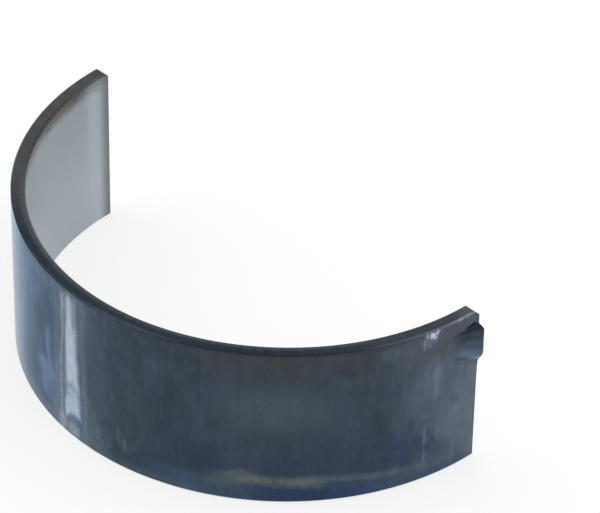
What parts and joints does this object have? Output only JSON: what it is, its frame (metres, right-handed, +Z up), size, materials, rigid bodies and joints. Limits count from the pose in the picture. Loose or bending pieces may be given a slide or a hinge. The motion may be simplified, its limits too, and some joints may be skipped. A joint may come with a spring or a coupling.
{
  "type": "engine bearing shell",
  "caption": "Half-round plain bearing shell with a dark steel back, a grey bearing lining and a pressed-out locating lug at one parting face.",
  "frame": {"origin": "on the bore axis, midway between the two rims", "axes": "+Z up along the bore axis towards the lug side rim, -Y towards the crown, +X towards the lug end"},
  "size_m": [0.0598, 0.0292, 0.02],
  "materials": {
    "bearing_shell": "dark blue-grey drawn steel back, satin grey lining in the bore"
  },
  "bodies": {
    "root": {"bearing_shell": "bearing_shell"}
  },
  "joints": []
}
